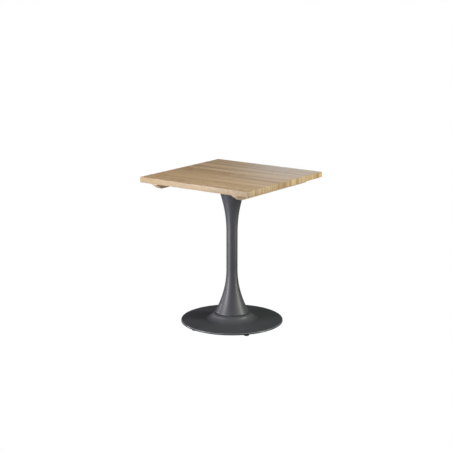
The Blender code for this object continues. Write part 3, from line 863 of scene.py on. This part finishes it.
def rounded_step(outer, inner):
    """The two corners of the recess's wall, softened, from the rim band in to the ceiling."""
    outer, inner = Vector(outer), Vector(inner)
    along = (inner - outer).normalized()
    return [
        tuple(outer + Vector((BAND_EDGE_ROUND, 0.0))),
        tuple(outer + along * BAND_EDGE_ROUND),
        tuple(inner - along * CEILING_EDGE_ROUND),
        tuple(inner + Vector((-CEILING_EDGE_ROUND, CEILING_RISE))),
    ]


def make_base(material):
    """The disc with its hub above, its recess below and a boss for each glide."""
    rim = (BASE_RADIUS - RIM_TOP_ROUND, RIM_TOP - RIM_TOP_ROUND)
    under_rim = (BASE_RADIUS - RIM_BOTTOM_ROUND, RIM_BOTTOM + RIM_BOTTOM_ROUND)
    spigot_top = HUB_TOP + SPIGOT_HEIGHT
    spigot = [(SPIGOT_RADIUS - SPIGOT_WALL, spigot_top), (SPIGOT_RADIUS, spigot_top)]
    top = [
        (ROD_HOLE_RADIUS, HUB_TOP),
        (SPIGOT_RADIUS - SPIGOT_WALL, HUB_TOP),
        *spigot,
        (SPIGOT_RADIUS, HUB_TOP),
        *hub_side(24, 30),
        *arc(rim, (RIM_TOP_ROUND,) * 2, 90, 0, 10),
        *arc(under_rim, (RIM_BOTTOM_ROUND,) * 2, 0, -90, 5),
    ]
    reach = (
        FLARE_FOOT_RADIUS - HUB_RADIUS + CASTING_WALL,
        HUB_TOP - FLARE_FOOT_HEIGHT + CASTING_WALL,
    )
    web_angle = 180 + degrees(atan(HUB_WEB / sqrt(reach[1] ** 2 - HUB_WEB**2)))
    recess_corner = (RIM_BAND_INNER_RADIUS - CASTING_WALL / 2, RIM_BOTTOM + CASTING_WALL / 2)
    under = [
        *rounded_step((RIM_BAND_INNER_RADIUS, RIM_BOTTOM), recess_corner),
        *arc((FLARE_FOOT_RADIUS, HUB_TOP), reach, 270, web_angle, 30),
        (ROD_HOLE_RADIUS, HUB_TOP - HUB_WEB),
    ]
    shape = bmesh.new()
    lathe(shape, top + under, 192, ring=True)
    mesh = finish_mesh(shape, "base")
    bosses, holes = bmesh.new(), bmesh.new()
    for number in range(1, 6):
        place = centre_of(f"glide_bush_{number}")
        boss = [(0.0, BOSS_ROOT), (BOSS_RADIUS, BOSS_ROOT), (BOSS_RADIUS, BOSS_BOTTOM + BOSS_CHAMFER)]
        boss += [(BOSS_RADIUS - BOSS_CHAMFER, BOSS_BOTTOM), (0.0, BOSS_BOTTOM)]
        lathe(bosses, boss, 48, place=place.xy)
        corners = slot_corners(place, BUSH_HOLE_RADIUS, BOSS_BOTTOM - OVERLAP, 48)
        prism(holes, corners, (0.0, 0.0, BUSH_HOLE_TOP - BOSS_BOTTOM + OVERLAP))
    mesh = boolean(boolean(mesh, bosses, "UNION"), holes)
    piece("base", mesh, material, "base_disc")


def make_rings(seam_material, steel_material):
    """The gasket in the seam at the column's foot, and the ring that centres the column's head."""
    for name, node, material, slot, size, inner in (
        (
            "seam_gasket", "seam_ring", seam_material, "seam_plastic",
            SEAM_RING_EDGE_ROUND, SEAM_RING_INNER_RADIUS,
        ),
        (
            "centring_spacer", "centring_ring", steel_material, "zinc_steel",
            CENTRING_RING_EDGE_ROUND, CENTRING_RING_INNER_RADIUS,
        ),
    ):
        low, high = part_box(node)
        outline = [(inner, high.z), (high.x, high.z), (high.x, low.z), (inner, low.z)]
        shape = bmesh.new()
        lathe(shape, rounded(outline, size, 3), 144, ring=True)
        piece(name, finish_mesh(shape, name), material, node)


def make_pad(number, material):
    """A glide pad, hollow above for its stud's end."""
    node = f"glide_pad_{number}"
    radius = half_width(node)
    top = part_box(node)[1].z
    socket = top - PAD_SOCKET_DEPTH
    foot_edge = (radius - PAD_FOOT_ROUND, PAD_FOOT_ROUND)
    top_edge = (radius - PAD_TOP_ROUND, top - PAD_TOP_ROUND)
    profile = [
        (0.0, 0.0),
        (radius - PAD_SOLE_INSET, 0.0),
        *arc(foot_edge, (PAD_FOOT_ROUND,) * 2, -90, 0, 8),
        *arc(top_edge, (PAD_TOP_ROUND,) * 2, 0, 90, 8),
        (PAD_SOCKET_RADIUS + PAD_SOCKET_CHAMFER, top),
        (PAD_SOCKET_RADIUS, top - PAD_SOCKET_CHAMFER),
        (PAD_SOCKET_RADIUS, socket),
        (0.0, socket),
    ]
    shape = bmesh.new()
    lathe(shape, profile, 64, place=centre_of(node).xy)
    name = f"pad_{number}"
    piece(name, finish_mesh(shape, name), material, node)


def make_stud_and_bush(number, material):
    """A glide's threaded stud, and the bush in the base that it turns in."""
    place = centre_of(f"glide_pad_{number}").xy
    node = f"glide_stud_{number}"
    low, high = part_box(node)
    shape = bmesh.new()
    thread(shape, STUD_RADIUS, STUD_THREAD_DEPTH, STUD_PITCH, low.z, high.z, 8, place)
    piece(f"stud_{number}", finish_mesh(shape, f"stud_{number}", 50), material, node)

    node = f"glide_bush_{number}"
    low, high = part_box(node)
    outline = [(BUSH_BORE_RADIUS, high.z), (BUSH_RADIUS, high.z)]
    outline += [(BUSH_RADIUS, low.z), (BUSH_BORE_RADIUS, low.z)]
    shape = bmesh.new()
    lathe(shape, rounded(outline, BUSH_EDGE_ROUND, 3), 48, ring=True, place=place)
    piece(f"bush_{number}", finish_mesh(shape, f"bush_{number}"), material, node)


def make_glides(pad_material, steel_material):
    for number in range(1, 6):
        make_pad(number, pad_material)
        make_stud_and_bush(number, steel_material)


def keep_inserts(material):
    """The inserts stay as the CAD made them, deep in the board."""
    for number in range(1, 7):
        node = frame["nodes"][f"plate_insert_{number}"]
        node.data.materials.clear()
        node.data.materials.append(material)


# ---------------------------------------------------------------- studio


def polar(azimuth, distance, height):
    """A point at this azimuth from the object, counted as the views count it."""
    angle = radians(azimuth)
    return Vector((distance * sin(angle), -distance * cos(angle), height))


def area_light(name, place, target, width, height, power, colour):
    """A rectangular light that faces its target and that the camera doesn't see."""
    data = bpy.data.lights.new(name, "AREA")
    data.shape = "RECTANGLE"
    data.size = width
    data.size_y = height
    data.energy = power
    data.color = colour
    light = bpy.data.objects.new(name, data)
    light.location = place
    light.visible_camera = False
    light.rotation_euler = (Vector(target) - place).to_track_quat("-Z", "Y").to_euler()
    bpy.context.scene.collection.objects.link(light)
    return light


def make_floor():
    """A pale floor that the camera sees as plain white, open from below."""
    shape = bmesh.new()
    corners = [(sx * FLOOR_HALF_WIDTH, sy * FLOOR_HALF_WIDTH, 0.0) for sx, sy in QUARTERS]
    shape.faces.new([shape.verts.new(corner) for corner in corners])
    mesh = finish_mesh(shape, "floor")
    floor = bpy.data.objects.new("floor", mesh)
    bpy.context.scene.collection.objects.link(floor)
    material = bpy.data.materials.new("studio_floor")
    material.use_nodes = True
    tree = material.node_tree
    tree.nodes.clear()
    glow = tree.nodes.new("ShaderNodeEmission")
    glow.inputs["Color"].default_value = WHITE
    clear = tree.nodes.new("ShaderNodeBsdfTransparent")
    side = tree.nodes.new("ShaderNodeNewGeometry")
    mix = tree.nodes.new("ShaderNodeMixShader")
    output = tree.nodes.new("ShaderNodeOutputMaterial")
    tree.links.new(side.outputs["Backfacing"], mix.inputs[0])
    tree.links.new(glow.outputs[0], mix.inputs[1])
    tree.links.new(clear.outputs[0], mix.inputs[2])
    tree.links.new(mix.outputs[0], output.inputs["Surface"])
    mesh.materials.append(material)
    floor.visible_diffuse = False
    floor.visible_glossy = False
    floor.visible_transmission = False
    floor.visible_shadow = False


def make_world():
    """White to the camera, and almost dark as a light."""
    world = bpy.data.worlds.new("studio")
    bpy.context.scene.world = world
    world.use_nodes = True
    tree = world.node_tree
    tree.nodes.clear()
    seen = tree.nodes.new("ShaderNodeLightPath")
    lit = tree.nodes.new("ShaderNodeBackground")
    lit.inputs["Color"].default_value = WHITE
    lit.inputs["Strength"].default_value = DOME_STRENGTH
    white = tree.nodes.new("ShaderNodeBackground")
    white.inputs["Color"].default_value = WHITE
    white.inputs["Strength"].default_value = 1.0
    mix = tree.nodes.new("ShaderNodeMixShader")
    output = tree.nodes.new("ShaderNodeOutputWorld")
    tree.links.new(seen.outputs["Is Camera Ray"], mix.inputs[0])
    tree.links.new(lit.outputs[0], mix.inputs[1])
    tree.links.new(white.outputs[0], mix.inputs[2])
    tree.links.new(mix.outputs[0], output.inputs["Surface"])


def make_lights(board):
    """A tall strip softbox on each side, weaker fills, one overhead, and a cool one behind that
    lights the board alone: the base would otherwise mirror it."""
    aim = (0.0, 0.0, AIM_HEIGHT)
    # azimuth in degrees from the camera's, height in metres, power in watts
    for name, azimuth, height, size, power, colour in (
        ("left_strip", -63, 0.55, STRIP_SIZE, 82, LEFT_TINT),
        ("right_strip", 76, 1.05, STRIP_SIZE, 66, RIGHT_TINT),
        ("left_rim", -110, 0.60, FILL_SIZE, 10, LEFT_TINT),
        ("left_fill", -35, 0.60, FILL_SIZE, 6, LEFT_TINT),
        ("right_fill", 40, 1.70, FILL_SIZE, 8, RIGHT_TINT),
    ):
        place = polar(CAMERA_AZIMUTH + azimuth, LIGHT_DISTANCE, height)
        area_light(name, place, aim, *size, power, colour)
    area_light("overhead", Vector((0.0, 0.0, 3.0)), aim, 0.40, 0.40, 31, TOP_TINT)
    area_light("floor_bounce", Vector((0.0, 0.0, -1.0)), aim, 2.2, 2.2, 8, WHITE[:3])
    place = polar(CAMERA_AZIMUTH + 160, LIGHT_DISTANCE, 1.35)
    haze = area_light("back_haze", place, aim, 1.50, 0.70, 7, HAZE_TINT)
    lit = bpy.data.collections.new("lit_by_back_haze")
    lit.objects.link(board)
    haze.light_linking.receiver_collection = lit


def make_camera():
    """A long lens, a little above the top and looking at one corner."""
    data = bpy.data.cameras.new("camera")
    data.lens = CAMERA_LENS
    data.sensor_width = 36.0
    data.clip_end = 100.0
    camera = bpy.data.objects.new("camera", data)
    camera.location = polar(CAMERA_AZIMUTH, CAMERA_DISTANCE, CAMERA_HEIGHT)
    camera.rotation_euler = (pi / 2 - CAMERA_TILT, 0.0, radians(CAMERA_AZIMUTH) + CAMERA_PAN)
    bpy.context.scene.collection.objects.link(camera)
    bpy.context.scene.camera = camera


def main():
    top_wood = wood("oiled_staves", "X", 0.022)
    batten_wood = wood("planed_batten", "Y", 0.060, contrast=0.8, knots=False, pale=0.6)
    column_paint = powder_coat("column_powder_coat", (0.070, 0.073, 0.083), 0.45)
    # rim: the radius where the painted shade on the base's rim starts, and the height above which its coat
    # and painted highlight start
    base_paint = powder_coat("base_powder_coat", (0.082, 0.086, 0.096), 0.45, rim=(0.2500, 0.0170))
    plate_paint = powder_coat("plate_powder_coat", (0.030, 0.031, 0.033), 0.52)
    zinc = plated("zinc_plating", (0.58, 0.58, 0.57), 0.34)
    brass = plated("brass", (0.70, 0.52, 0.24), 0.32)
    plastic = moulded("black_plastic", (0.010, 0.010, 0.011), 0.5)
    gasket = moulded("grey_gasket", (0.060, 0.062, 0.066), 0.55)

    board = make_board(top_wood)
    make_battens(batten_wood)
    make_screws(zinc)
    make_plate(plate_paint)
    make_bolts(zinc)
    make_rod(zinc)
    for where in ("upper", "lower"):
        make_washer(where, zinc)
        make_nut(where, zinc)
    make_column(column_paint)
    make_base(base_paint)
    make_rings(gasket, zinc)
    make_glides(plastic, zinc)
    keep_inserts(brass)

    make_floor()
    make_world()
    make_lights(board)
    make_camera()
    bpy.context.scene.view_settings.view_transform = "Standard"


main()

bpy.context.view_layer.update()
